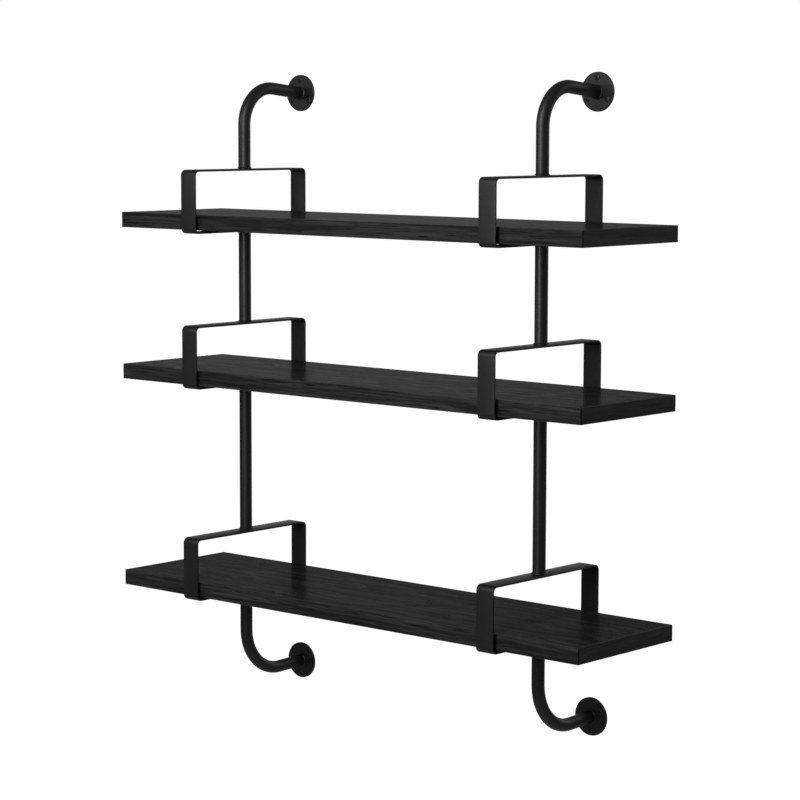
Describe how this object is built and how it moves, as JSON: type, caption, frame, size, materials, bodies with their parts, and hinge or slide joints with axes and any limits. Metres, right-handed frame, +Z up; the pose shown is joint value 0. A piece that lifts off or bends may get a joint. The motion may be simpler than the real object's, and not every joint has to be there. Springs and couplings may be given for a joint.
{
  "type": "wall shelving unit",
  "caption": "Wall-hung shelving unit: black wooden boards threaded through flat-strip loops on bent tube uprights that end in round wall flanges.",
  "frame": {"origin": "on the wall plane, at the middle of the four wall flanges", "axes": "+Z up, +Y into the wall, so that the boards stand out towards -Y, and +X to the right as seen from the front"},
  "size_m": [0.95, 0.263, 1.02],
  "materials": {
    "black_stained_wood": "open-grain ash stained black, with a dull oil finish",
    "black_powder_coat": "satin black powder coat on steel",
    "spacer_nylon": "moulded black nylon",
    "screw_steel": "black zinc-plated steel"
  },
  "bodies": {
    "root": {"board_core_bottom": "black_stained_wood", "front_edging_bottom": "black_stained_wood", "back_edging_bottom": "black_stained_wood", "left_end_edging_bottom": "black_stained_wood", "right_end_edging_bottom": "black_stained_wood", "board_spacers_bottom": "spacer_nylon", "board_screws_bottom": "screw_steel", "board_core_middle": "black_stained_wood", "front_edging_middle": "black_stained_wood", "back_edging_middle": "black_stained_wood", "left_end_edging_middle": "black_stained_wood", "right_end_edging_middle": "black_stained_wood", "board_spacers_middle": "spacer_nylon", "board_screws_middle": "screw_steel", "board_core_top": "black_stained_wood", "front_edging_top": "black_stained_wood", "back_edging_top": "black_stained_wood", "left_end_edging_top": "black_stained_wood", "right_end_edging_top": "black_stained_wood", "board_spacers_top": "spacer_nylon", "board_screws_top": "screw_steel", "shelf_loop_bottom_left": "black_powder_coat", "loop_welds_bottom_left": "black_powder_coat", "shelf_loop_middle_left": "black_powder_coat", "loop_welds_middle_left": "black_powder_coat", "shelf_loop_top_left": "black_powder_coat", "loop_welds_top_left": "black_powder_coat", "lower_post_tube_left": "black_powder_coat", "upper_post_tube_left": "black_powder_coat", "upper_arm_tube_left": "black_powder_coat", "lower_arm_tube_left": "black_powder_coat", "upper_wall_flange_left": "black_powder_coat", "lower_wall_flange_left": "black_powder_coat", "upper_flange_weld_left": "black_powder_coat", "lower_flange_weld_left": "black_powder_coat", "shelf_loop_bottom_right": "black_powder_coat", "loop_welds_bottom_right": "black_powder_coat", "shelf_loop_middle_right": "black_powder_coat", "loop_welds_middle_right": "black_powder_coat", "shelf_loop_top_right": "black_powder_coat", "loop_welds_top_right": "black_powder_coat", "lower_post_tube_right": "black_powder_coat", "upper_post_tube_right": "black_powder_coat", "upper_arm_tube_right": "black_powder_coat", "lower_arm_tube_right": "black_powder_coat", "upper_wall_flange_right": "black_powder_coat", "lower_wall_flange_right": "black_powder_coat", "upper_flange_weld_right": "black_powder_coat", "lower_flange_weld_right": "black_powder_coat"}
  },
  "joints": []
}
